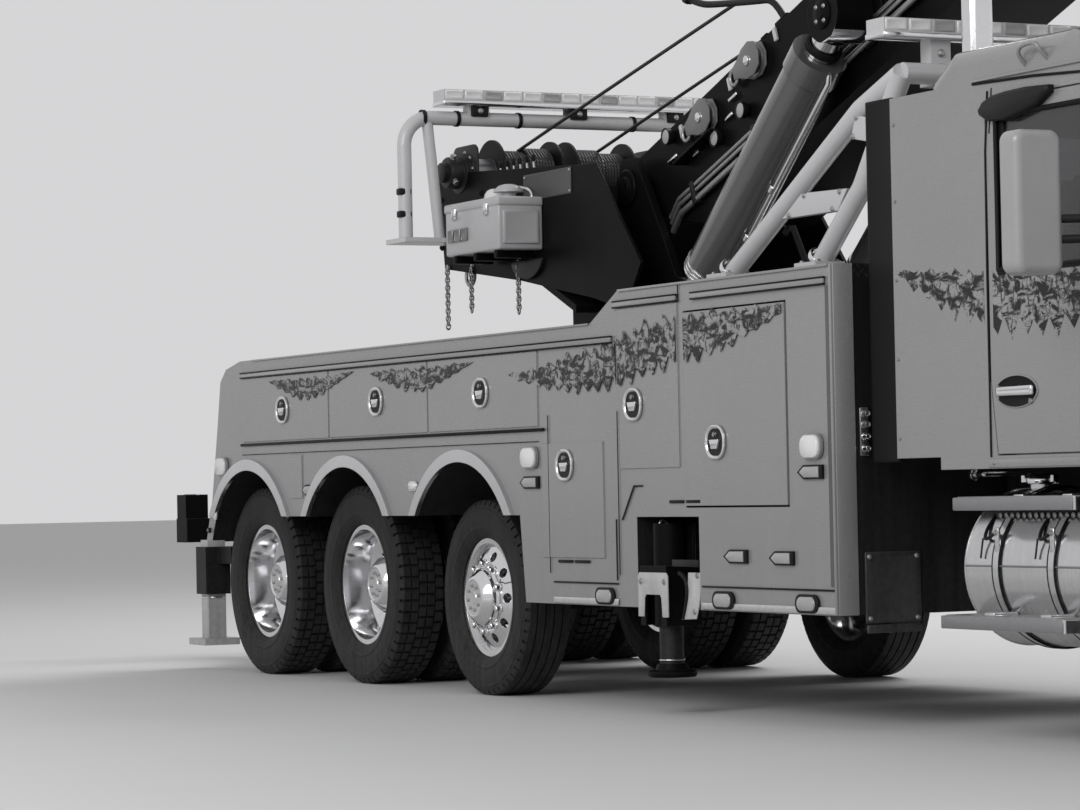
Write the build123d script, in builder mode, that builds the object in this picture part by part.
"""Heavy rotator tow truck: a day-cab tractor with a steer axle, a pusher axle and two drive
axles, a steel recovery body with side lockers, a slewing turret with a telescopic boom, two
winches, an under-lift at the tail and outriggers. Millimetres, +X forward, +Y left, +Z up."""

from build123d import *
import os
from math import cos, radians, sin

os.makedirs("parts", exist_ok=True)

# Clearances, seats and plates
moving_gap = 8.0
running_gap = 0.05
seat_gap = 0.5
cut_past = 5.0
skin = 40.0
plate = 20.0

# Places along the truck are given forward of the leading drive axle
bumper_front = 8620.0
crossbar_ahead = -3560.0
crossbar_depth = 180.0
drive_axle_x = -(bumper_front + crossbar_ahead - crossbar_depth / 2) / 2
tandem_spacing = 1372.0
pusher_ahead = 1470.0
steer_ahead = 7450.0


def at(ahead):
    """Place along the truck, from its distance ahead of the leading drive axle."""
    return drive_axle_x + ahead


# Wheels
drive_tyre_radius = 530.0
drive_tyre_width = 279.0
drive_rim_radius = 311.0
drive_track = 1070.0
dual_spacing = 343.0
pusher_tyre_radius = 488.0
pusher_tyre_width = 276.0
pusher_rim_radius = 286.0
pusher_track = 1050.0
steer_tyre_radius = 530.0
steer_tyre_width = 385.0
steer_rim_radius = 286.0
steer_track = 1020.0
rim_flange = 14.0
rim_edge = 14.0
rim_wall = 16.0
rim_share = 0.31
disc_thick = 20.0
dish_radius = 185.0
hub_radius = 140.0
bore_radius = 52.0
hub_cap = 40.0
spindle_gap = 6.0
single_disc_out = 95.0
dual_hub_reach = 170.0
single_hub_reach = 50.0
hand_holes = 10

# Axles, springs and steering
diff_radius = 185.0
beam_radius = 75.0
spring_half = 38.0
spring_leaf = 60.0
drive_spring_reach = 480.0
steer_spring_reach = 620.0
steer_beam_depth = 130.0
kingpin_y = 760.0
kingpin_radius = 28.0
kingpin_boss = 60.0
kingpin_rise = 90.0
yoke_thick = 37.0

# Frame
rail_outer = 430.0
rail_flange = 90.0
rail_web = 14.0
rail_top = 1160.0
rail_depth = 270.0
rail_bottom = rail_top - rail_depth
rail_rear = -tandem_spacing - 578.0
rail_front = 8340.0
crossmember = 80.0

# Recovery body
body_half = 1270.0
locker_inner = 800.0
body_low_top = 1790.0
body_tall_top = 1930.0
body_bottom = 480.0
body_front = 4980.0
tall_rear = 3130.0
slope_rear = 2850.0
skirt_rear = pusher_ahead + 660.0
arch_top_line = 900.0
deck_top = 1550.0
deck_thick = 50.0
arch_gap = 110.0
lip_width = 55.0
lip_proud = 25.0
panel_proud = 6.0
bulkhead_thick = 30.0
locker_door_rear = 3735.0
locker_door_front = 4625.0
locker_door_bottom = 930.0
locker_door_top = 1800.0
locker_door_thick = 40.0
locker_wall = 40.0

# Turret and boom
turret_ahead = 1600.0
ring_radius = 600.0
ring_height = 180.0
ring_plate = 60.0
turret_floor = deck_top + ring_height + moving_gap
web_y = 380.0
web_thick = 40.0
tail_half = 600.0
tool_box_depth = 250.0
tool_box_round = 32.0
boom_pivot_ahead = 1640.0
boom_pivot_z = 2540.0
boom_rise = 20.0
boom_half = 300.0
boom_depth = 600.0
boom_top_above = 170.0
boom_wall = 16.0
section_gap = 14.0
collar_thick = 30.0
collar_length = 120.0
base_front = 4300.0
mid_reach = 200.0
tip_reach = 200.0
boom_pin_radius = 50.0
lift_y = 455.0
lift_barrel_radius = 125.0
lift_rod_radius = 70.0
lift_bore_gap = 2.0
lift_pin_radius = 40.0
lift_eye_radius = 75.0
lift_head_radius = 130.0
lift_foot_ahead = 2440.0
lift_foot_z = 1960.0
lift_head_along = 2230.0
lift_head_drop = 170.0
barrel_length = 1560.0
winch_ahead = 70.0
winch_z = 2750.0
winch_inner = 40.0
winch_outer = 410.0
drum_radius = 110.0
drum_flange = 185.0
winch_plate = 15.0
sheave_radius = 150.0
head_plate = 24.0

# Light pylons
pylon_ahead = 300.0
pylon_half = 1030.0
pylon_top = 3020.0
pylon_foot = 2370.0
tube_radius = 38.0
front_pylon_y = 840.0
front_tube_radius = 45.0
lamp_bar_height = 80.0

# Outriggers and rear jacks
beam_height = 190.0
beam_width = 240.0
beam_top = 860.0
beam_rear_right = 3300.0
beam_wall = 20.0
beam_tip = 1120.0
beam_tail = 900.0
post_radius = 75.0
bracket_reach = 90.0
bracket_wall = 12.0
bracket_mouth = 75.0
bracket_mouth_top = 600.0
post_y = 1185.0
jack_radius = 55.0
foot_radius = 85.0
rear_jack_ahead = rail_rear - 320.0
rear_jack_y = 1150.0
rear_jack_half = 55.0
sleeve_wall = 15.0

# Under-lift
lift_pivot_ahead = rail_rear - 380.0
lift_pivot_z = 620.0
underlift_width = 260.0
underlift_reach = 820.0
ear_thick = 40.0
lift_stub_radius = 35.0
stinger_width = 205.0
stinger_overlap = 670.0
crossbar_height = 150.0
crossbar_half = 850.0
swivel_radius = 60.0
fork_post = 150.0
fork_socket = 38.0
fork_socket_length = 300.0

# Cab
cab_half = 1150.0
cab_rear = 5600.0
cab_floor = 1070.0
cab_underside = rail_top + 12.0
sill_width = 130.0
cowl_x = 7080.0
roof_rear_z = 2640.0
roof_front_z = 2720.0
roof_round = 70.0
screen_top_x = 6760.0
screen_top_z = 2640.0
screen_foot_z = 1930.0
screen_frame = 110.0
door_rear = 5960.0
door_front = 6960.0
door_bottom = 1120.0
door_top = 2500.0
door_gap = 6.0
door_skin = 36.0
window_rear = 6040.0
window_bottom = 1840.0
window_top = 2430.0
glass_thick = 8.0
extender_rear = 5280.0
extender_thick = 30.0
extender_bottom = 1120.0
extender_top = 2580.0
mirror_x = 6740.0
mirror_thick = 100.0
mirror_inner = 1370.0
mirror_outer = 1580.0
mirror_bottom = 1770.0
mirror_top = 2300.0
mirror_round = 45.0
mirror_soften = 30.0
mirror_arms_z = (1900.0, 1975.0)
mirror_arm_radius = 16.0
stack_ahead = 5330.0
stack_y = 750.0
stack_radius = 63.5
stack_top = 3320.0
silencer_radius = 110.0
tank_radius = 310.0
tank_y = 830.0
tank_z = 680.0
tank_rear = 5710.0
tank_end_round = 30.0
tank_front = 6660.0
strap_width = 40.0
strap_places = (5960.0, 6330.0)
step_thick = 50.0
step_round = 12.0
low_step = (5740.0, 6570.0)
low_step_z = 450.0
high_step = (5840.0, 6650.0)
high_step_z = 910.0
step_bracket_reach = 40.0
step_inner = 1060.0
step_outer = 1260.0

# Hood
hood_gap = 12.0
hood_rear = cowl_x + hood_gap
hood_nose = 8420.0
hood_wall = 30.0
hood_top_rear = 1900.0
hood_top_front = 1680.0
hood_half_rear = 650.0
hood_half_front = 540.0
hood_round = 90.0
fender_inner = 560.0
fender_outer = 1235.0
fender_top = 1250.0
fender_bottom = 800.0
wheel_opening = 630.0
hood_pivot_z = 760.0
grille_half = 490.0
grille_bottom = 850.0
grille_top = 1480.0
bumper_rear = 8460.0
bumper_half = 1240.0
bumper_round = 70.0
bumper_bottom = 330.0
bumper_top = 690.0


def face_across(points, y):
    """A closed outline of (ahead, up) points on the plane at the given Y."""
    with BuildSketch(Plane.XZ.offset(-y)) as sketch:
        with BuildLine():
            Polyline([(at(ahead), up) for ahead, up in points], close=True)
        make_face()
    return sketch.sketch


def slab(points, y_low, y_high):
    """A plate of the given (ahead, up) outline between two Y planes."""
    return extrude(face_across(points, y_high), amount=y_high - y_low, mode=Mode.PRIVATE)


def block(x_range, y_range, z_range):
    """A box between two corners; x is measured ahead of the leading drive axle. The ends of
    each range may come in either order."""
    x_range, y_range, z_range = (sorted(ends) for ends in (x_range, y_range, z_range))
    size = [high - low for low, high in (x_range, y_range, z_range)]
    middle = (at(sum(x_range) / 2), sum(y_range) / 2, sum(z_range) / 2)
    return Box(*size, mode=Mode.PRIVATE).moved(Location(middle))


def rod(start, end, radius):
    """A round bar between two points (ahead, y, z)."""
    foot = Vector(at(start[0]), start[1], start[2])
    reach = Vector(at(end[0]), end[1], end[2]) - foot
    with BuildPart(Plane(origin=foot, z_dir=reach)) as bar:
        Cylinder(radius, reach.length, align=(Align.CENTER, Align.CENTER, Align.MIN))
    return bar.part


def pin_across(ahead, up, y_low, y_high, radius):
    """A round bar along Y."""
    return rod((ahead, min(y_low, y_high), up), (ahead, max(y_low, y_high), up), radius)


def post(ahead, y, z_low, z_high, radius):
    """An upright round bar."""
    return rod((ahead, y, z_low), (ahead, y, z_high), radius)


def pipe(points, bend, radius):
    """A bent tube through (ahead, y, z) points."""
    path_points = [Vector(at(x), y, z) for x, y, z in points]
    with BuildPart() as tube:
        with BuildLine() as path:
            FilletPolyline(*path_points, radius=bend)
        with BuildSketch(Plane(origin=path_points[0], z_dir=path_points[1] - path_points[0])):
            Circle(radius)
        sweep(path=path.wires()[0])
    return tube.part


def ball(ahead, y, z, radius):
    """A ball at a place along the truck."""
    return Sphere(radius, mode=Mode.PRIVATE).moved(Location((at(ahead), y, z)))


def ring_section(x, z, section):
    """A ring turned about a wheel's axle from (across, radius) points."""
    with BuildPart() as ring:
        with BuildSketch(Plane.YZ.offset(at(x))):
            with BuildLine():
                Polyline([(across, z + radius) for across, radius in section], close=True)
            make_face()
        revolve(axis=Axis((at(x), 0, z), (0, 1, 0)))
    return ring.part


def both_sides(shape):
    """The shape and its mirror image on the truck's other side."""
    return [shape, mirror(shape, about=Plane.XZ, mode=Mode.PRIVATE)]


def save(part, name):
    """Label a finished piece and write it."""
    part.label = name
    export_step(part, f"parts/{name}.step")


def side_sign(side):
    return -1.0 if side == "right" else 1.0


# Tyres, rims and hubs


def tyre_at(x, z, centre, width, radius, bead):
    """A tyre with a flat tread, rounded shoulders, bulged sidewalls and beads inside the rim."""
    half = width / 2
    seat = width * rim_share - seat_gap
    section = []
    for sign in (-1.0, 1.0):
        edge = [
            (centre + sign * seat, bead),
            (centre + sign * seat, bead + rim_flange + 4.0),
            (centre + sign * half, bead + (radius - bead) * 0.45),
            (centre + sign * half * 0.97, bead + (radius - bead) * 0.80),
            (centre + sign * half * 0.82, radius),
        ]
        section += edge if sign < 0 else edge[::-1]
    return ring_section(x, z, section)


def rim_at(x, z, centre, width, bead, mount, thick_to):
    """A wheel: its barrel inside the tyre, flanges at its edges and a dished disc whose flat
    middle lies between mount and thick_to."""
    half = width * rim_share
    edge = half + rim_edge
    inner = bead - rim_wall
    barrel = ring_section(x, z, [
        (centre - edge, inner), (centre - edge, bead + rim_flange),
        (centre - half, bead + rim_flange), (centre - half, bead - seat_gap),
        (centre + half, bead - seat_gap), (centre + half, bead + rim_flange),
        (centre + edge, bead + rim_flange), (centre + edge, inner),
    ])
    lean = 1.0 if mount > centre else -1.0
    root = centre + lean * (half - rim_flange)
    near, far = (mount, thick_to) if lean * (thick_to - mount) > 0 else (thick_to, mount)
    disc = ring_section(x, z, [
        (root - lean * disc_thick, inner + 4.0), (root, inner + 4.0), (far, dish_radius),
        (far, bore_radius), (near, bore_radius), (near, dish_radius - disc_thick / 2),
    ])
    return barrel + disc


wheel_table = [
    # name, ahead, tyre radius, tyre width, rim radius, centre from middle, hub starts at, dual
    ("pusher", pusher_ahead, pusher_tyre_radius, pusher_tyre_width, pusher_rim_radius, pusher_track, 250.0,
     False),
    ("drive_front", 0.0, drive_tyre_radius, drive_tyre_width, drive_rim_radius, drive_track, 370.0, True),
    ("drive_rear", -tandem_spacing, drive_tyre_radius, drive_tyre_width, drive_rim_radius, drive_track,
     370.0, True),
    ("steer", steer_ahead, steer_tyre_radius, steer_tyre_width, steer_rim_radius, steer_track, 170.0, False),
]

for name, ahead, radius, width, bead, track, hub_depth, dual in wheel_table:
    for side in ("right", "left"):
        sign = side_sign(side)
        centres = [sign * track]
        if dual:
            centres.append(sign * (track - dual_spacing))
        with BuildPart() as tyre:
            for centre in centres:
                add(tyre_at(ahead, radius, centre, width, radius, bead))
        save(tyre.part, f"tyre_{name}_{side}")

        hub_start = track - hub_depth
        mount = track - dual_spacing / 2 if dual else track + single_disc_out
        hub_end = mount + (dual_hub_reach if dual else single_hub_reach)
        with BuildPart() as rim:
            add(rim_at(ahead, radius, centres[0], width, bead, sign * mount, sign * (mount + disc_thick)))
            if dual:
                add(rim_at(ahead, radius, centres[1], width, bead, sign * mount, sign * (mount - disc_thick)))
            add(ring_section(ahead, radius, [
                (sign * hub_start, bore_radius), (sign * hub_start, hub_radius),
                (sign * hub_end, hub_radius), (sign * (hub_end + hub_cap), hub_radius * 0.7),
                (sign * (hub_end + hub_cap), 0.0), (sign * (hub_end - hub_cap / 2), 0.0),
                (sign * (hub_end - hub_cap / 2), bore_radius),
            ]))
            for hole in PolarLocations(bead * 0.74, hand_holes):
                spot = hole.position
                add(
                    pin_across(ahead + spot.X, radius + spot.Y, sign * hub_start, sign * (track + width),
                               bead * 0.085),
                    mode=Mode.SUBTRACT,
                )
        save(rim.part, f"rim_{name}_{side}")

# Axle beams, springs and spindles

spindle_radius = bore_radius - spindle_gap
spring_y = rail_outer - rail_flange / 2


def leaf_spring(ahead, y, reach, seat_z):
    """A bowed leaf spring that hangs from the rail's underside and clamps on its axle."""
    return slab([
        (ahead - reach, rail_bottom), (ahead - reach, rail_bottom - spring_leaf), (ahead - beam_radius,
                                                                                   seat_z),
        (ahead + beam_radius, seat_z), (ahead + reach, rail_bottom - spring_leaf), (ahead + reach,
                                                                                    rail_bottom),
        (ahead + reach - spring_leaf, rail_bottom), (ahead + beam_radius, seat_z + spring_leaf),
        (ahead - beam_radius, seat_z + spring_leaf), (ahead - reach + spring_leaf, rail_bottom),
    ], y - spring_half, y + spring_half)


beam_top_z = steer_tyre_radius - spring_leaf
beam_bottom_z = beam_top_z - steer_beam_depth
with BuildPart() as axles:
    for name, ahead, radius, width, bead, track, hub_depth, dual in wheel_table:
        if name == "steer":
            continue
        hub_start = track - hub_depth
        add(pin_across(ahead, radius, moving_gap - hub_start, hub_start - moving_gap, beam_radius))
        for sign in (-1.0, 1.0):
            add(pin_across(ahead, radius, sign * (hub_start - beam_radius), sign * (hub_start + kingpin_rise),
                           spindle_radius))
            add(block((ahead - beam_radius, ahead + beam_radius),
                      (sign * spring_y - spring_half, sign * spring_y + spring_half), (radius, rail_bottom)))
            add(leaf_spring(ahead, sign * spring_y, drive_spring_reach, radius + beam_radius))
        if dual:
            add(ball(ahead, 0, radius, diff_radius))
    add(block((steer_ahead - kingpin_boss, steer_ahead + kingpin_boss),
              (kingpin_boss - kingpin_y, kingpin_y - kingpin_boss), (beam_bottom_z, beam_top_z)))
    for sign in (-1.0, 1.0):
        boss_y = sign * kingpin_y
        boss_top = beam_top_z + kingpin_rise
        add(post(steer_ahead, boss_y, beam_bottom_z, boss_top, kingpin_boss))
        add(block((steer_ahead - kingpin_boss, steer_ahead + kingpin_boss),
                  (boss_y, boss_y - sign * 2 * kingpin_boss), (beam_bottom_z, boss_top)))
        add(block((steer_ahead - beam_radius, steer_ahead + beam_radius),
                  (sign * spring_y - spring_half, sign * spring_y + spring_half), (beam_bottom_z,
                                                                                   rail_bottom)))
        add(leaf_spring(steer_ahead, sign * spring_y, steer_spring_reach, beam_top_z))
        add(post(steer_ahead, boss_y, beam_bottom_z - yoke_thick - moving_gap / 2,
                 boss_top + yoke_thick + moving_gap / 2, kingpin_radius))
save(axles.part, "axles")

# Steering knuckles: a yoke above and below the beam's end, and the spindle

for side in ("right", "left"):
    sign = side_sign(side)
    boss_y = sign * kingpin_y
    cheek_in, cheek_out = kingpin_y + kingpin_boss + moving_gap, kingpin_y + kingpin_boss + moving_gap + plate
    low_yoke = beam_bottom_z - moving_gap - yoke_thick
    high_yoke = boss_top + moving_gap
    with BuildPart() as knuckle:
        for low in (low_yoke, high_yoke):
            add(post(steer_ahead, boss_y, low, low + yoke_thick, kingpin_boss))
            add(block((steer_ahead - kingpin_boss, steer_ahead + kingpin_boss), (boss_y, sign * cheek_out),
                      (low, low + yoke_thick)))
        add(block((steer_ahead - kingpin_boss, steer_ahead + kingpin_boss),
                  (sign * cheek_in, sign * cheek_out),
                  (low_yoke, high_yoke + yoke_thick)))
        add(pin_across(steer_ahead, steer_tyre_radius, sign * cheek_in, sign * (cheek_out + 2 * kingpin_boss),
                       spindle_radius))
        for low in (low_yoke, high_yoke):
            add(post(steer_ahead, boss_y, low - cut_past, low + yoke_thick + cut_past,
                     kingpin_radius + running_gap),
                mode=Mode.SUBTRACT)
    save(knuckle.part, f"knuckle_{side}")

# Chassis frame: two channel rails, crossmembers and the outrigger box

box_low = beam_top - beam_height - moving_gap - plate
box_rear = beam_rear_right - moving_gap - plate
box_front = beam_rear_right + 2 * beam_width + 3 * moving_gap + 2 * plate
ear_inner = underlift_width / 2 + moving_gap
ear_outer = ear_inner + ear_thick
sleeve_bore = rear_jack_half + moving_gap
sleeve_half = sleeve_bore + sleeve_wall
sleeve_top = lift_pivot_z + 100.0
sleeve_bottom = 440.0


def channel_rail():
    """The left frame rail, a channel that opens inward."""
    with BuildPart() as rail:
        with BuildSketch(Plane.YZ.offset(at(rail_rear))):
            with BuildLine():
                Polyline(
                    (rail_outer, rail_bottom), (rail_outer, rail_top), (rail_outer - rail_flange, rail_top),
                    (rail_outer - rail_flange, rail_top - rail_web), (rail_outer - rail_web,
                                                                      rail_top - rail_web),
                    (rail_outer - rail_web, rail_bottom + rail_web),
                    (rail_outer - rail_flange, rail_bottom + rail_web), (rail_outer - rail_flange,
                                                                         rail_bottom),
                    close=True,
                )
            make_face()
        extrude(amount=rail_front - rail_rear)
    return rail.part


with BuildPart() as frame:
    for rail in both_sides(channel_rail()):
        add(rail)
    for ahead in (rail_rear + 50.0, -tandem_spacing / 2, 700.0, 2200.0, 4600.0, 5400.0, rail_front - 60.0):
        add(block((ahead - crossmember / 2, ahead + crossmember / 2),
                  (rail_web - rail_outer, rail_outer - rail_web),
                  (rail_bottom + 30.0, rail_top - 30.0)))
    for ahead in (box_rear, box_rear + plate + beam_width + 2 * moving_gap, box_front - plate):
        add(block((ahead, ahead + plate), (-locker_inner, locker_inner), (box_low, rail_bottom)))
    add(block((box_rear, box_front), (-locker_inner, locker_inner), (box_low, box_low + plate)))
    add(block((box_rear, box_front), (-locker_inner, locker_inner), (beam_top + moving_gap, rail_bottom)))
    for sign in (-1.0, 1.0):
        # Under-lift ear with its stub pin
        near, far = sorted((sign * ear_inner, sign * ear_outer))
        add(slab([
            (rail_rear - 40.0, rail_top - 20.0), (rail_rear + 90.0, rail_top - 20.0),
            (rail_rear + 90.0, lift_pivot_z - 60.0), (lift_pivot_ahead + 50.0, lift_pivot_z - 80.0),
            (lift_pivot_ahead - 90.0, lift_pivot_z - 60.0), (lift_pivot_ahead - 90.0, lift_pivot_z + 80.0),
            (lift_pivot_ahead + 130.0, lift_pivot_z + 180.0),
        ], near, far))
        add(pin_across(lift_pivot_ahead, lift_pivot_z, sign * (stinger_width / 2 + moving_gap + 2.0),
                       sign * ear_outer, lift_stub_radius))
        # Rear jack carrier and its sleeve
        jack_y = sign * rear_jack_y
        add(block((rear_jack_ahead - 50.0, rail_rear - 40.0), (sign * ear_inner, jack_y),
                  (lift_pivot_z, sleeve_top)))
        add(block((rear_jack_ahead - sleeve_half, rear_jack_ahead + sleeve_half),
                  (jack_y - sleeve_half, jack_y + sleeve_half), (sleeve_bottom, sleeve_top)))
        add(block((rear_jack_ahead - sleeve_bore, rear_jack_ahead + sleeve_bore),
                  (jack_y - sleeve_bore, jack_y + sleeve_bore), (sleeve_bottom - cut_past,
                                                                 sleeve_top + cut_past)),
            mode=Mode.SUBTRACT)
save(frame.part, "chassis_frame")

with BuildPart() as engine:
    add(block((cowl_x + skin, rail_front - 190.0), (-300.0, 300.0),
              (rail_bottom - 150.0, hood_top_front - 140.0)))
save(engine.part, "engine_block")

# Recovery body

arch_radius = drive_tyre_radius + arch_gap
arch_table = [
    # ahead, centre height, radius
    (-tandem_spacing, drive_tyre_radius, arch_radius),
    (0.0, drive_tyre_radius, arch_radius),
    (pusher_ahead - 40.0, drive_tyre_radius, arch_radius + 5.0),
]
tail = -tandem_spacing
body_outline = [
    (tail - 688.0, 760.0), (tail - 588.0, 1000.0), (tail - 488.0, 1410.0), (tail - 428.0, 1680.0),
    (tail - 338.0, body_low_top - 40.0), (tail - 118.0, body_low_top), (slope_rear, body_low_top),
    (tall_rear, body_tall_top), (body_front, body_tall_top), (body_front, body_bottom), (skirt_rear,
                                                                                         body_bottom),
    (skirt_rear - 50.0, arch_top_line), (tail + 592.0, arch_top_line), (tail - 568.0, 760.0),
]
panel_table = [
    # rear edge, front edge, bottom, top of the locker doors that stay shut
    (-1450.0, -220.0, 1325.0, 1685.0),
    (-200.0, 1050.0, 1325.0, 1685.0),
    (1070.0, 2300.0, 1325.0, 1685.0),
    (3130.0, 3690.0, 1110.0, 1840.0),
    (2330.0, 2960.0, 700.0, 1240.0),
    (-780.0, -600.0, 1000.0, 1240.0),
]
pedestal_flange = 70.0
shelf_z = (locker_door_bottom + locker_door_top) / 2
with BuildPart() as body:
    for piece in both_sides(slab(body_outline, -body_half, -locker_inner)):
        add(piece)
    for rear, front, low, high in panel_table:
        for piece in both_sides(block((rear, front), (-body_half - panel_proud, cut_past - body_half),
                                      (low, high))):
            add(piece)
    for ahead, up, radius in arch_table:
        add(pin_across(ahead, up, -body_half - plate, body_half + plate, radius), mode=Mode.SUBTRACT)
    for sign in (-1.0, 1.0):
        mouth, back = sign * (body_half + cut_past), sign * (locker_inner + locker_wall)
        add(block((locker_door_rear, locker_door_front), (mouth, back),
                  (locker_door_bottom, locker_door_top)),
            mode=Mode.SUBTRACT)
        add(block((locker_door_rear - cut_past, locker_door_front + cut_past),
                  (sign * (body_half - locker_door_thick - plate), back), (shelf_z, shelf_z + plate)))
    add(block((box_rear, box_front), (-body_half - plate, body_half + plate),
              (body_bottom - cut_past, rail_bottom)),
        mode=Mode.SUBTRACT)
    add(block((tail - 428.0, body_front), (-locker_inner, locker_inner), (deck_top - deck_thick, deck_top)))
    for sign in (-1.0, 1.0):
        near, far = sign * (rail_outer - rail_flange), sign * rail_outer
        add(block((rail_rear + 50.0, body_front), (near, far), (rail_top, deck_top - deck_thick)))
    add(block((body_front - cut_past, body_front + bulkhead_thick), (-body_half, body_half),
              (rail_top + plate, body_tall_top)))
    for sign in (-1.0, 1.0):
        add(block((body_front - cut_past, body_front + bulkhead_thick),
                  (sign * (rail_outer + plate), sign * body_half),
                  (body_bottom, body_tall_top)))
    # Pedestal under the turret, with a bolting flange
    add(post(turret_ahead, 0, deck_top - cut_past, deck_top + ring_height, ring_radius))
    add(post(turret_ahead, 0, deck_top - cut_past, deck_top + 2 * plate, ring_radius + pedestal_flange))
save(body.part, "recovery_body")

with BuildPart() as arch_lips:
    for ahead, up, radius in arch_table:
        lip = ring_section(ahead, up, [
            (-body_half - lip_proud, radius - 8.0), (-body_half - lip_proud, radius + lip_width),
            (-body_half, radius + lip_width), (-body_half, radius - 8.0),
        ])
        reach = radius + lip_width + plate
        lip = lip - block((ahead - reach, ahead + reach), (-body_half - lip_width, -body_half + lip_width),
                          (up - reach, arch_top_line))
        for piece in both_sides(lip):
            add(piece)
save(arch_lips.part, "arch_lips")

# Locker doors, hinged at their front edge

for side in ("right", "left"):
    sign = side_sign(side)
    outer = sign * (body_half + panel_proud)
    with BuildPart() as locker_door:
        add(block((locker_door_rear + moving_gap, locker_door_front - moving_gap),
                  (outer, outer - sign * locker_door_thick),
                  (locker_door_bottom + moving_gap, locker_door_top - moving_gap)))
    save(locker_door.part, f"locker_door_{side}")

# Outriggers: two beams side by side, each with a jack in the post at its tip

jack_foot_z = 170.0
jack_top = 730.0
foot_plate = 30.0
post_bottom = 400.0
for side in ("right", "left"):
    sign = side_sign(side)
    rear = beam_rear_right if side == "right" else beam_rear_right + beam_width + 2 * moving_gap + plate
    middle = rear + beam_width / 2
    tip, tail_end = sign * beam_tip, -sign * beam_tail
    post_at = sign * post_y
    with BuildPart() as beam:
        add(block((rear, rear + beam_width), (tip, tail_end), (beam_top - beam_height, beam_top)))
        add(block((rear + beam_wall, rear + beam_width - beam_wall),
                  (sign * (beam_tip - 60.0), tail_end - sign * plate),
                  (beam_top - beam_height + beam_wall, beam_top - beam_wall)), mode=Mode.SUBTRACT)
        # Square bracket under the tip, open below and at the front, round the jack's tube
        near, far = sign * (post_y - bracket_reach), sign * (post_y + bracket_reach)
        beam_under = beam_top - beam_height
        add(block((rear, rear + beam_width), (near, far), (post_bottom, beam_under)))
        add(block((rear + bracket_wall, rear + beam_width - bracket_wall),
                  (near + sign * bracket_wall, far - sign * bracket_wall),
                  (post_bottom - cut_past, beam_under - bracket_wall)), mode=Mode.SUBTRACT)
        add(block((middle - bracket_mouth, middle + bracket_mouth),
                  (far - sign * 2 * bracket_wall, far + sign * cut_past),
                  (post_bottom - cut_past, bracket_mouth_top)), mode=Mode.SUBTRACT)
        add(post(middle, post_at, post_bottom, beam_top, post_radius))
        add(post(middle, post_at, post_bottom - cut_past, beam_top - foot_plate,
                 jack_radius + moving_gap / 2),
            mode=Mode.SUBTRACT)
    save(beam.part, f"outrigger_{side}")
    with BuildPart() as jack:
        add(post(middle, post_at, jack_foot_z + foot_plate, jack_top, jack_radius))
        add(post(middle, post_at, jack_foot_z, jack_foot_z + foot_plate, foot_radius))
    save(jack.part, f"outrigger_jack_{side}")

# Rear jacks: square legs in sleeves on the frame's tail

rear_foot_z = 140.0
for side in ("right", "left"):
    jack_y = side_sign(side) * rear_jack_y
    with BuildPart() as leg:
        add(block((rear_jack_ahead - rear_jack_half, rear_jack_ahead + rear_jack_half),
                  (jack_y - rear_jack_half, jack_y + rear_jack_half), (rear_foot_z + 2 * plate,
                                                                       sleeve_top + 2 * plate)))
        add(block((rear_jack_ahead - 130.0, rear_jack_ahead + 130.0), (jack_y - 110.0, jack_y + 110.0),
                  (rear_foot_z, rear_foot_z + 2 * plate)))
    save(leg.part, f"rear_jack_{side}")

# Under-lift: tilting arm, stinger and crossbar

arm_rear = lift_pivot_ahead - underlift_reach
arm_half = underlift_width / 2
bore_half = stinger_width / 2 + moving_gap
with BuildPart() as arm:
    add(block((arm_rear, lift_pivot_ahead + 60.0), (-arm_half, arm_half),
              (lift_pivot_z - arm_half, lift_pivot_z + arm_half)))
    add(block((arm_rear - cut_past, lift_pivot_ahead - 80.0), (-bore_half, bore_half),
              (lift_pivot_z - bore_half, lift_pivot_z + bore_half)), mode=Mode.SUBTRACT)
    add(block((arm_rear, arm_rear + collar_length), (-arm_half - plate, arm_half + plate),
              (lift_pivot_z + bore_half, lift_pivot_z + arm_half + plate)))
    add(pin_across(lift_pivot_ahead, lift_pivot_z, -underlift_width, underlift_width,
                   lift_stub_radius + running_gap), mode=Mode.SUBTRACT)
save(arm.part, "underlift_arm")

stinger_half = stinger_width / 2
bar_low = lift_pivot_z + stinger_half + moving_gap
with BuildPart() as stinger:
    add(block((crossbar_ahead - swivel_radius, arm_rear + stinger_overlap), (-stinger_half, stinger_half),
              (lift_pivot_z - stinger_half, lift_pivot_z + stinger_half)))
    add(post(crossbar_ahead, 0, lift_pivot_z - stinger_half, bar_low + crossbar_height, swivel_radius))
save(stinger.part, "underlift_stinger")

with BuildPart() as crossbar:
    add(block((crossbar_ahead - crossbar_depth / 2, crossbar_ahead + crossbar_depth / 2),
              (-crossbar_half, crossbar_half), (bar_low, bar_low + crossbar_height)))
    for sign in (-1.0, 1.0):
        post_at = sign * (crossbar_half - fork_post / 2)
        add(block((crossbar_ahead - fork_post / 2, crossbar_ahead + fork_post / 2),
                  (post_at - fork_post / 2, post_at + fork_post / 2), (bar_low,
                                                                       bar_low + fork_socket_length)))
        add(post(crossbar_ahead, post_at, bar_low - cut_past, bar_low + fork_socket_length + cut_past,
                 fork_socket),
            mode=Mode.SUBTRACT)
    add(post(crossbar_ahead, 0, bar_low - cut_past, bar_low + crossbar_height + cut_past,
             swivel_radius + running_gap), mode=Mode.SUBTRACT)
save(crossbar.part, "underlift_crossbar")

# Turret: two inner webs that hold the boom's pivot, outer cheeks and the winch tray

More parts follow.
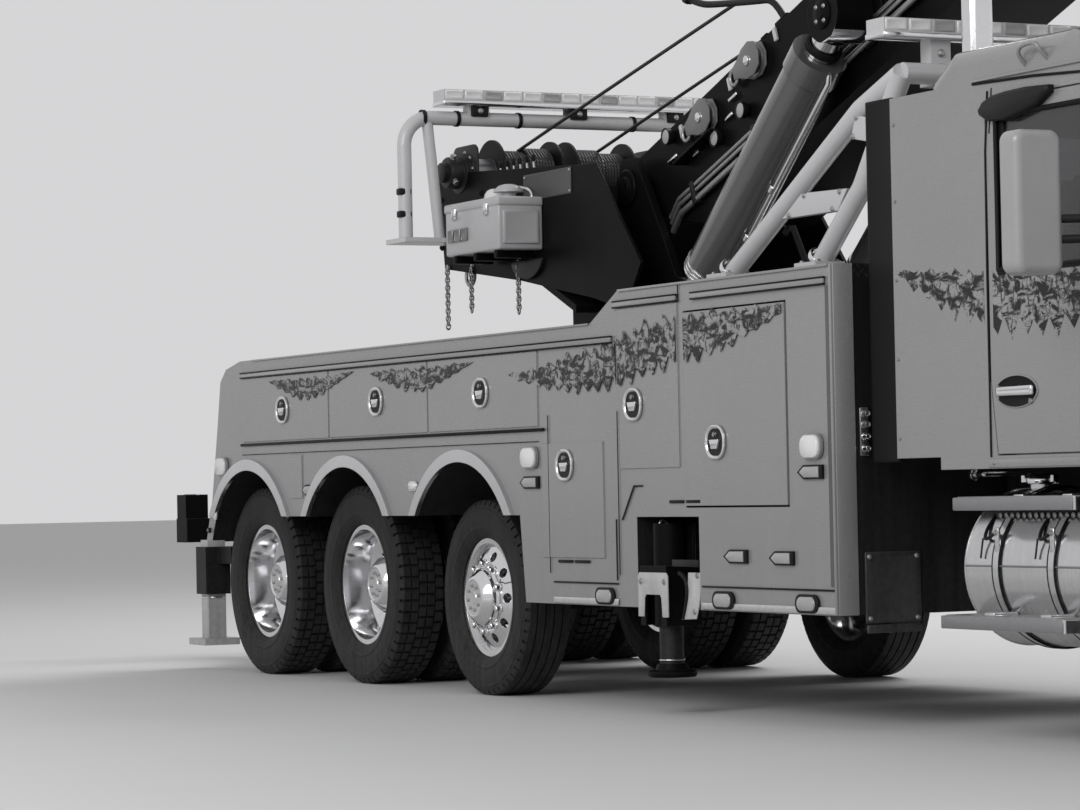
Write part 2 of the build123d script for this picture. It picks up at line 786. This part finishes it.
px, pz = boom_pivot_ahead, boom_pivot_z
fx, fz = lift_foot_ahead, lift_foot_z
tray_rear = [(-130.0, 2240.0), (-210.0, 2770.0)]
with BuildPart() as turret:
    add(post(turret_ahead, 0, turret_floor, turret_floor + ring_plate, ring_radius))
    web = slab([
        (px - 640.0, turret_floor + plate / 2), (px - 640.0, pz - 530.0), (px - 940.0, pz - 380.0),
        (px - 940.0, pz - 110.0), (px - 140.0, pz - 110.0), (px - 80.0, pz + 150.0), (px + 60.0, pz + 150.0),
        (px + 200.0, pz - 40.0), (px + 480.0, pz - 480.0), (fx + 120.0, fz), (fx + 120.0, fz - 90.0),
        (fx - 340.0, turret_floor + 110.0), (fx - 340.0, turret_floor + plate / 2),
    ], -web_y - web_thick / 2, -web_y + web_thick / 2)
    cheek = slab([
        *tray_rear, (px + 10.0, pz + 120.0), (px + 480.0, pz - 410.0), (px + 310.0, pz - 640.0),
        (px - 10.0, pz - 560.0), (px - 840.0, pz - 420.0),
    ], -tail_half, -tail_half + plate)
    for piece in both_sides(web) + both_sides(cheek):
        add(piece)
    inside = tail_half - plate / 2
    add(slab([*tray_rear[::-1], (-90.0, 2240.0), (-170.0, 2765.0)], -inside, inside))
    add(slab([(-130.0, 2240.0), (px - 840.0, pz - 420.0), (px - 640.0, pz - 450.0), (px - 640.0, pz - 410.0),
              (px - 840.0, pz - 380.0), (-130.0, 2280.0)], -inside, inside))
    add(block((px - 940.0, px - 910.0), (-inside, inside), (pz - 400.0, pz + 100.0)))
    add(slab([(px - 640.0, pz - 450.0), (px - 640.0, pz - 410.0), (px - 240.0, pz - 580.0),
              (px - 240.0, pz - 620.0)], -inside, inside))
    add(block((px - 640.0, px - 610.0), (-web_y, web_y), (turret_floor + plate / 2, pz - 440.0)))
    add(pin_across(px, pz, -web_y - web_thick, web_y + web_thick, boom_pin_radius))
    for sign in (-1.0, 1.0):
        add(pin_across(fx, fz, sign * web_y, sign * (lift_y + 65.0), lift_pin_radius))
        # Tool box on each cheek
        tool_box = block((px - 1210.0, px - 580.0),
                         (sign * (tail_half - plate / 2), sign * (tail_half + tool_box_depth)),
                         (pz - 270.0, pz - 10.0))
        add(tool_box.fillet(tool_box_round, tool_box.edges().filter_by(Axis.Z)))
save(turret.part, "turret")

# Winches: two drums side by side between their own plates, each with a motor outboard

with BuildPart() as winches:
    for sign in (-1.0, 1.0):
        low, high = sorted((sign * winch_inner, sign * winch_outer))
        add(pin_across(winch_ahead, winch_z, low, high, drum_radius))
        for edge in (low, high - winch_plate):
            add(pin_across(winch_ahead, winch_z, edge, edge + winch_plate, drum_flange))
            add(slab([(winch_ahead - 120.0, 2271.0), (winch_ahead + 120.0, 2240.0),
                      (winch_ahead + 120.0, winch_z),
                      (winch_ahead - 120.0, winch_z)], edge, edge + winch_plate))
        add(pin_across(winch_ahead, winch_z, sign * (winch_outer - 1.0), sign * (winch_outer + 110.0), 80.0))
        add(pin_across(winch_ahead, winch_z, sign * (winch_outer + 100.0), sign * (winch_outer + 140.0),
                       55.0))
save(winches.part, "winches")

# Rear light pylon: a bent hoop over the turret's tail

with BuildPart() as rear_pylon:
    add(pipe([
        (pylon_ahead, -pylon_half, pylon_foot), (pylon_ahead, -pylon_half, pylon_top),
        (pylon_ahead, pylon_half, pylon_top), (pylon_ahead, pylon_half, pylon_foot),
    ], 4 * tube_radius, tube_radius))
    for sign in (-1.0, 1.0):
        add(rod((pylon_ahead, sign * (pylon_half - 200.0), pylon_foot),
                (pylon_ahead, sign * (pylon_half - 135.0), pylon_top),
                tube_radius - 8.0))
        add(block((pylon_ahead - 125.0, pylon_ahead + 125.0), (sign * tail_half, sign * (pylon_half + 60.0)),
                  (pylon_foot - 25.0, pylon_foot)))
        add(block((pylon_ahead - tube_radius, pylon_ahead + tube_radius), (sign * 540.0, sign * 660.0),
                  (pylon_top, pylon_top + lamp_bar_height)))
    add(block((pylon_ahead - 70.0, pylon_ahead + 70.0), (-820.0, 820.0),
              (pylon_top + 70.0, pylon_top + 70.0 + lamp_bar_height)))
save(rear_pylon.part, "light_pylon_rear")

# Boom sections, drawn along the boom from its pivot

rise = radians(boom_rise)
boom_plane = Plane(origin=(at(px), 0, pz), x_dir=(cos(rise), 0, sin(rise)), z_dir=(0, -1, 0))
boom_under = boom_top_above - boom_depth


def boom_slab(points, y_low, y_high):
    """A plate between two Y planes, outlined by (along, above) points from the boom's pivot."""
    with BuildSketch(boom_plane.offset(-y_high)) as sketch:
        with BuildLine():
            Polyline(points, close=True)
        make_face()
    return extrude(sketch.sketch, amount=y_high - y_low, mode=Mode.PRIVATE)


def boom_block(along, above, half):
    """A box along the boom, centred across it."""
    corners = [(along[0], above[0]), (along[1], above[0]), (along[1], above[1]), (along[0], above[1])]
    return boom_slab(corners, -half, half)


def boom_tube(along, above, half, wall):
    """A square tube along the boom, open at both ends."""
    tube = boom_block(along, above, half)
    inner = (above[0] + wall, above[1] - wall)
    return tube - boom_block((along[0] - cut_past, along[1] + cut_past), inner, half - wall)


def boom_point(along, above):
    """The (ahead, up) place of a point given along and above the boom's pivot."""
    return (px + along * cos(rise) - above * sin(rise), pz + along * sin(rise) + above * cos(rise))


head_x, head_z = boom_point(lift_head_along, -lift_head_drop)
heel_slot = 120.0
heel_cheek = 120.0
with BuildPart() as boom_base:
    add(boom_slab([
        (-120.0, -60.0), (-120.0, 100.0), (-50.0, boom_top_above), (base_front, boom_top_above),
        (base_front, boom_under), (520.0, boom_under), (0.0, -150.0),
    ], -boom_half, boom_half))
    add(boom_block((heel_slot, base_front + cut_past), (boom_under + boom_wall, boom_top_above - boom_wall),
                   boom_half - boom_wall), mode=Mode.SUBTRACT)
    add(boom_block((-2 * heel_slot, heel_slot + cut_past), (boom_under, boom_top_above + cut_past),
                   boom_half - heel_cheek), mode=Mode.SUBTRACT)
    add(boom_tube((base_front - collar_length, base_front),
                  (boom_under - collar_thick, boom_top_above + collar_thick), boom_half + collar_thick,
                  collar_thick + boom_wall / 2))
    add(pin_across(px, pz, -boom_half - cut_past, boom_half + cut_past, boom_pin_radius + running_gap),
        mode=Mode.SUBTRACT)
    for sign in (-1.0, 1.0):
        add(pin_across(head_x, head_z, sign * (boom_half - 1.0), sign * (boom_half + 25.0),
                       lift_head_radius + plate))
save(boom_base.part, "boom_base")

mid_half = boom_half - boom_wall - section_gap
mid_top = boom_top_above - boom_wall - section_gap
mid_under = boom_under + boom_wall + section_gap
mid_rear, mid_front = 900.0, base_front + mid_reach
with BuildPart() as boom_mid:
    add(boom_tube((mid_rear, mid_front), (mid_under, mid_top), mid_half, boom_wall))
    add(boom_tube((mid_front - collar_length, mid_front), (mid_under - collar_thick, mid_top + collar_thick),
                  mid_half + collar_thick, collar_thick + boom_wall / 2))
save(boom_mid.part, "boom_mid")

# The tip carries the head: three plates with two sheaves on one pin

tip_half = mid_half - boom_wall - section_gap
tip_top = mid_top - boom_wall - section_gap
tip_under = mid_under + boom_wall + section_gap
tip_rear, tip_front = mid_rear + 200.0, mid_front + tip_reach
sheave_x, sheave_z = boom_point(tip_front + sheave_radius + plate, tip_top - sheave_radius)
with BuildPart() as boom_tip:
    add(boom_tube((tip_rear, tip_front), (tip_under, tip_top), tip_half, boom_wall))
    add(boom_block((tip_front - 60.0, tip_front - 60.0 + plate), (tip_under + cut_past, tip_top - cut_past),
                   tip_half - cut_past))
    for low in (-tip_half, -head_plate / 2, tip_half - head_plate):
        add(boom_slab([
            (tip_front - 60.0, tip_under), (tip_front - 60.0, tip_top), (tip_front + 120.0, tip_top + 60.0),
            (tip_front + 330.0, tip_top), (tip_front + 330.0, tip_top - 180.0), (tip_front + 120.0,
                                                                                 tip_under),
        ], low, low + head_plate))
    for sign in (-1.0, 1.0):
        near, far = head_plate / 2 + moving_gap, tip_half - head_plate - moving_gap
        middle = (near + far) / 2
        add(pin_across(sheave_x, sheave_z, sign * near, sign * middle, sheave_radius))
        add(pin_across(sheave_x, sheave_z, sign * middle, sign * far, sheave_radius - plate))
        add(pin_across(sheave_x, sheave_z, sign * (far - plate), sign * far, sheave_radius))
    add(pin_across(sheave_x, sheave_z, -tip_half - plate, tip_half + plate, 40.0))
save(boom_tip.part, "boom_tip")

# Lift cylinders: barrels on the turret's feet, rods up to the boom's sides

foot = Vector(fx, 0, fz)
lift_reach = Vector(head_x, 0, head_z) - foot
lift_way = lift_reach.normalized()
bore_start = 200.0
piston_start = bore_start + 60.0


def lift_spot(distance, y):
    """A point on a lift cylinder's axis, by its distance from the foot pin."""
    spot = foot + lift_way * distance
    return (spot.X, y, spot.Z)


with BuildPart() as barrels:
    for sign in (-1.0, 1.0):
        y = sign * lift_y
        add(rod(lift_spot(lift_eye_radius + 55.0, y), lift_spot(barrel_length, y), lift_barrel_radius))
        add(rod(lift_spot(barrel_length - collar_length, y), lift_spot(barrel_length, y),
                lift_barrel_radius + 10.0))
        add(pin_across(fx, fz, y - 45.0, y + 45.0, lift_eye_radius))
        add(rod(lift_spot(plate, y), lift_spot(lift_eye_radius + 65.0, y), lift_eye_radius * 0.6))
        add(pin_across(fx, fz, y - 60.0, y + 60.0, lift_pin_radius + running_gap), mode=Mode.SUBTRACT)
        add(rod(lift_spot(bore_start, y), lift_spot(barrel_length + cut_past, y),
                lift_rod_radius + lift_bore_gap),
            mode=Mode.SUBTRACT)
save(barrels.part, "lift_barrels")

with BuildPart() as rods:
    for sign in (-1.0, 1.0):
        y = sign * lift_y
        add(rod(lift_spot(piston_start, y), lift_spot(lift_reach.length - lift_rod_radius, y),
                lift_rod_radius))
        add(pin_across(head_x, head_z, y - 95.0, y + 95.0, lift_head_radius))
save(rods.part, "lift_rods")

# Front light pylon: bent tubes that lean forward over the bulkhead

upper_leg = [(3420.0, body_tall_top + 45.0), (4570.0, 2620.0), (4900.0, 2740.0)]
lower_leg = [(4200.0, body_tall_top + 45.0), (4570.0, 2290.0), (4900.0, 2740.0)]
with BuildPart() as front_pylon:
    for sign in (-1.0, 1.0):
        y = sign * front_pylon_y
        for leg in (upper_leg, lower_leg):
            add(pipe([(x, y, z) for x, z in leg], 3 * front_tube_radius, front_tube_radius))
            foot_ahead = leg[0][0]
            add(block((foot_ahead - 90.0, foot_ahead + 90.0), (y - 75.0, y + 75.0),
                      (body_tall_top, body_tall_top + 60.0)))
        add(slab([(3930.0, 2200.0), (4400.0, 2200.0), (4480.0, 2290.0), (4100.0, 2300.0)], y - 15.0,
                 y + 15.0))
        add(slab([(4520.0, 2500.0), (4680.0, 2470.0), (4720.0, 2560.0), (4560.0, 2600.0)], y - 15.0,
                 y + 15.0))
        add(block((4750.0, 4830.0), (sign * 550.0, sign * 650.0), (2700.0, 2910.0)))
    top_ahead, top_z = upper_leg[-1]
    add(pin_across(top_ahead, top_z, -front_pylon_y, front_pylon_y, front_tube_radius))
    add(block((4740.0, top_ahead), (-650.0, 650.0), (top_z - 40.0, top_z + 20.0)))
    add(block((4720.0, 4860.0), (-900.0, 900.0), (2900.0, 2900.0 + lamp_bar_height)))
save(front_pylon.part, "light_pylon_front")

# Cab: a hollow shell with its door openings and windows cut through

cab_outline = [
    (cab_rear, cab_floor), (cab_rear, roof_rear_z), (cab_rear + 120.0, roof_front_z), (screen_top_x - 260.0,
                                                                                       roof_front_z),
    (screen_top_x, screen_top_z), (cowl_x, screen_foot_z), (cowl_x, cab_floor),
]
cab_room = [
    (cab_rear + skin, cab_underside + skin), (cab_rear + skin, roof_rear_z - skin), (cab_rear + 140.0,
                                                                                     roof_front_z - skin),
    (screen_top_x - 280.0, roof_front_z - skin), (screen_top_x - skin, screen_top_z - skin),
    (cowl_x - skin, screen_foot_z - skin / 2), (cowl_x - skin, cab_underside + skin),
]
door_outline = [
    (door_rear + 40.0, door_bottom), (door_rear, door_bottom + 300.0), (door_rear, door_top),
    (screen_top_x - 60.0, door_top), (door_front, screen_foot_z + 60.0), (door_front, door_bottom),
]
window_outline = [
    (window_rear, window_bottom), (window_rear, window_top), (screen_top_x - 90.0, window_top),
    (door_front - 60.0, screen_foot_z - 10.0), (door_front - 60.0, window_bottom),
]
lean = (screen_top_x - cowl_x) / (screen_top_z - screen_foot_z)
glass_half = cab_half - screen_frame
rear_window = 600.0
rear_window_z = (1900.0, 2400.0)


def screen_x(up):
    """Where the windshield's outer face lies at a height."""
    return cowl_x + (up - screen_foot_z) * lean


with BuildPart() as cab:
    add(slab(cab_outline, -cab_half, cab_half))
    roof_edges = [
        edge for edge in cab.edges()
        if edge.center().Z > screen_top_z - plate and abs(edge.center().Y) > cab_half - 1.0
    ]
    fillet(roof_edges, roof_round)
    add(slab(cab_room, skin - cab_half, cab_half - skin), mode=Mode.SUBTRACT)
    add(block((cab_rear - cut_past, cowl_x + cut_past), (sill_width - cab_half, cab_half - sill_width),
              (cab_floor - cut_past, cab_underside)), mode=Mode.SUBTRACT)
    for sign in (-1.0, 1.0):
        near, far = sorted((sign * (cab_half - skin - cut_past), sign * (cab_half + cut_past)))
        add(slab(door_outline, near, far), mode=Mode.SUBTRACT)
        add(block((extender_rear, cab_rear + 10.0), (sign * (cab_half - extender_thick), sign * cab_half),
                  (extender_bottom, extender_top)))
    add(block((cab_rear - cut_past, cab_rear + skin + cut_past), (-rear_window, rear_window), rear_window_z),
        mode=Mode.SUBTRACT)
    low, high = screen_foot_z + 60.0, screen_top_z - 60.0
    add(slab([(screen_x(low) + 120.0, low), (screen_x(high) + 120.0, high), (screen_x(high) - 120.0, high),
              (screen_x(low) - 120.0, low)], -glass_half, glass_half), mode=Mode.SUBTRACT)
save(cab.part, "cab_shell")

with BuildPart() as glass:
    low, high = low + 1.0, high - 1.0
    add(slab([(screen_x(low) - 12.0, low), (screen_x(high) - 12.0, high), (screen_x(high) - 22.0, high),
              (screen_x(low) - 22.0, low)], 1.0 - glass_half, glass_half - 1.0))
    add(block((cab_rear + 10.0, cab_rear + 10.0 + glass_thick), (1.0 - rear_window, rear_window - 1.0),
              (rear_window_z[0] + 1.0, rear_window_z[1] - 1.0)))
save(glass.part, "cab_glass")


def inset_panel(points, y_low, y_high, inset):
    """A plate of the given outline, drawn in by an even margin."""
    with BuildSketch(Plane.XZ.offset(-y_high)) as sketch:
        with BuildLine():
            Polyline([(at(ahead), up) for ahead, up in points], close=True)
        make_face()
        offset(amount=-inset, kind=Kind.INTERSECTION, mode=Mode.REPLACE)
    return extrude(sketch.sketch, amount=y_high - y_low, mode=Mode.PRIVATE)


for side in ("right", "left"):
    sign = side_sign(side)
    outer, inner = sign * cab_half, sign * (cab_half - door_skin)
    low, high = sorted((outer, inner))
    with BuildPart() as door:
        add(inset_panel(door_outline, low, high, door_gap))
        add(slab(window_outline, low - cut_past, high + cut_past), mode=Mode.SUBTRACT)
        # Mirror shell on two arms
        for up in mirror_arms_z:
            add(rod((door_front - 30.0, outer - sign * 10.0, up),
                    (mirror_x, sign * (mirror_inner + mirror_round), up),
                    mirror_arm_radius))
        shell = block((mirror_x - mirror_thick / 2, mirror_x + mirror_thick / 2),
                      (sign * mirror_inner, sign * mirror_outer),
                      (mirror_bottom, mirror_top))
        shell = shell.fillet(mirror_round, shell.edges().filter_by(Axis.X))
        add(shell.fillet(mirror_soften, shell.faces().sort_by(Axis.X)[-1].edges()))
    save(door.part, f"door_{side}")
    middle = (outer + inner) / 2
    pane = inset_panel(window_outline, middle - glass_thick / 2, middle + glass_thick / 2, 1.0)
    save(pane, f"door_glass_{side}")


def steering_wheel(ahead, y, z):
    """A rim, a hub and one spoke, square to the steering column."""
    with BuildPart(Plane(origin=(at(ahead), y, z), z_dir=(-180.0, 0, 120.0))) as wheel:
        Torus(225.0, 16.0)
        Cylinder(40.0, 24.0)
        Box(440.0, 30.0, 14.0)
    return wheel.part


floor_z = cab_underside + skin
seat_half = 230.0
seat_top = 1480.0
with BuildPart() as interior:
    for sign in (-1.0, 1.0):
        y = sign * 520.0
        add(block((cab_rear + 300.0, cab_rear + 750.0), (y - seat_half, y + seat_half), (floor_z, seat_top)))
        add(slab([(cab_rear + 160.0, seat_top - 60.0), (cab_rear + 80.0, 2250.0), (cab_rear + 190.0, 2250.0),
                  (cab_rear + 340.0, seat_top), (cab_rear + 340.0,
                                                 seat_top - 60.0)], y - seat_half, y + seat_half))
    add(block((cowl_x - 300.0, cowl_x - skin), (skin + 60.0 - cab_half, cab_half - skin - 60.0),
              (1500.0, 1860.0)))
    add(rod((cowl_x - 280.0, 520.0, 1640.0), (cowl_x - 460.0, 520.0, 1760.0), 30.0))
    add(steering_wheel(cowl_x - 470.0, 520.0, 1766.0))
save(interior.part, "cab_interior")

with BuildPart() as visor:
    add(slab([
        (screen_top_x - 120.0, screen_top_z + 40.0), (screen_top_x, screen_top_z + 2.0),
        (screen_top_x + 120.0, screen_top_z - 70.0), (screen_top_x + 250.0, screen_top_z - 170.0),
        (screen_top_x + 250.0, screen_top_z - 140.0), (screen_top_x + 120.0, screen_top_z - 40.0),
        (screen_top_x, screen_top_z + 34.0), (screen_top_x - 120.0, screen_top_z + 70.0),
    ], -cab_half - plate, cab_half + plate))
save(visor.part, "sun_visor")

with BuildPart() as stacks:
    for sign in (-1.0, 1.0):
        y = sign * stack_y
        add(post(stack_ahead, y, rail_top + plate, stack_top, stack_radius))
        add(post(stack_ahead, y, rail_top + 2 * plate, 2100.0, silencer_radius))
        add(block((stack_ahead - 30.0, stack_ahead + 30.0),
                  (sign * (rail_outer - 50.0), sign * (stack_y + 30.0)),
                  (rail_top, rail_top + 2 * plate)))
save(stacks.part, "exhaust_stacks")

with BuildPart() as tanks:
    for sign in (-1.0, 1.0):
        y = sign * tank_y
        tank = rod((tank_rear, y, tank_z), (tank_front, y, tank_z), tank_radius)
        add(tank.fillet(tank_end_round, tank.edges().filter_by(GeomType.CIRCLE)))
        bracket_end = sign * (step_inner + step_bracket_reach)
        for strap in strap_places:
            rear, front = strap - strap_width / 2, strap + strap_width / 2
            add(rod((rear, y, tank_z), (front, y, tank_z), tank_radius + 8.0))
            add(block((rear, front), (sign * rail_outer, y), (rail_bottom, tank_z + tank_radius)))
            for step_z in (low_step_z, high_step_z):
                add(block((rear, front), (y, bracket_end), (step_z, step_z + step_thick)))
        for ends, step_z in ((low_step, low_step_z), (high_step, high_step_z)):
            step = block(ends, (sign * step_inner, sign * step_outer), (step_z, step_z + step_thick))
            add(step.fillet(step_round, step.edges().filter_by(Axis.Z)))
save(tanks.part, "fuel_tanks")

# Hood: a tapering bonnet, flat fenders with rounded noses, and the wheel openings

nose_rear = hood_nose - 160.0
bonnet_stations = [
    # ahead, half width, top, bottom
    (hood_rear, hood_half_rear, hood_top_rear, 1100.0),
    (nose_rear, hood_half_front, hood_top_front, fender_bottom),
    (hood_nose, hood_half_front - 10.0, hood_top_front - 90.0, fender_bottom),
]


def bonnet(shrink, past):
    """The bonnet's block, drawn in by a wall and run past its rear and bottom when hollowing."""
    with BuildPart() as shape:
        for index, (ahead, half, top, bottom) in enumerate(bonnet_stations):
            place = ahead - past if index == 0 else ahead - shrink
            with BuildSketch(Plane.YZ.offset(at(place))) as section:
                with BuildLine():
                    Polyline((shrink - half, bottom - past), (shrink - half, top - shrink),
                             (half - shrink, top - shrink), (half - shrink, bottom - past), close=True)
                make_face()
                fillet(section.vertices().sort_by(Axis.Y)[-2:], hood_round - shrink)
        loft(ruled=True)
    return shape.part


def fender(shrink, past, y_low, y_high):
    """One fender's side profile between two Y planes, with its nose rounded."""
    with BuildSketch(Plane.XZ.offset(-y_high)) as sketch:
        with BuildLine():
            Polyline([(at(ahead), up) for ahead, up in (
                (hood_rear - past, fender_bottom - past), (hood_rear - past, fender_top - shrink),
                (hood_nose - shrink, fender_top - shrink), (hood_nose - shrink, fender_bottom - past),
            )], close=True)
        make_face()
        fillet(sketch.vertices().sort_by(Axis.X)[-2:].sort_by(Axis.Y)[-1:], 2 * hood_round - shrink)
    return extrude(sketch.sketch, amount=y_high - y_low, mode=Mode.PRIVATE)


with BuildPart() as hood:
    add(bonnet(0.0, 0.0))
    for sign in (-1.0, 1.0):
        near, far = sorted((sign * fender_inner, sign * fender_outer))
        add(fender(0.0, 0.0, near, far))
        near, far = sorted((sign * (fender_inner - cut_past), sign * (fender_outer - hood_wall)))
        add(fender(hood_wall, cut_past, near, far), mode=Mode.SUBTRACT)
    add(bonnet(hood_wall, cut_past), mode=Mode.SUBTRACT)
    add(pin_across(steer_ahead, steer_tyre_radius, -fender_outer - plate, fender_outer + plate,
                   wheel_opening),
        mode=Mode.SUBTRACT)
    add(block((hood_nose - 2 * hood_wall, hood_nose + cut_past), (-grille_half, grille_half),
              (grille_bottom, grille_top)), mode=Mode.SUBTRACT)
save(hood.part, "hood_shell")

grille_frame = 48.0
bar_pitch = 66.0
with BuildPart() as grille:
    add(block((hood_nose - 25.0, hood_nose + 25.0), (seat_gap - grille_half, grille_half - seat_gap),
              (grille_bottom + seat_gap, grille_top - seat_gap)))
    add(block((hood_nose - 30.0, hood_nose + 30.0), (grille_frame - grille_half, grille_half - grille_frame),
              (grille_bottom + grille_frame, grille_top - grille_frame)), mode=Mode.SUBTRACT)
    for index in range(-6, 7):
        y = index * bar_pitch
        add(block((hood_nose - 10.0, hood_nose + 15.0), (y - 12.0, y + 12.0),
                  (grille_bottom + grille_frame - 10.0, grille_top - grille_frame + 10.0)))
save(grille.part, "grille")

with BuildPart() as headlamps:
    for sign in (-1.0, 1.0):
        add(block((hood_nose, hood_nose + 30.0), (sign * 700.0, sign * 1100.0), (880.0, 1060.0)))
save(headlamps.part, "headlamps")

with BuildPart() as bumper:
    bar = block((bumper_rear, bumper_front), (-bumper_half, bumper_half), (bumper_bottom, bumper_top))
    add(bar.fillet(bumper_round, bar.edges().filter_by(Axis.Z).sort_by(Axis.X)[-2:]))
    add(block((bumper_rear - cut_past, bumper_front - hood_wall), (skin - bumper_half, bumper_half - skin),
              (bumper_bottom + hood_wall, bumper_top - hood_wall)), mode=Mode.SUBTRACT)
    for sign in (-1.0, 1.0):
        near, far = sign * (rail_outer - rail_flange), sign * rail_outer
        add(block((rail_front - 140.0, bumper_front - plate), (near, far),
                  (bumper_top - 130.0, bumper_top - 40.0)))
        add(block((rail_front - 140.0, rail_front - 10.0), (near, far), (bumper_top - 130.0, rail_bottom)))
save(bumper.part, "front_bumper")
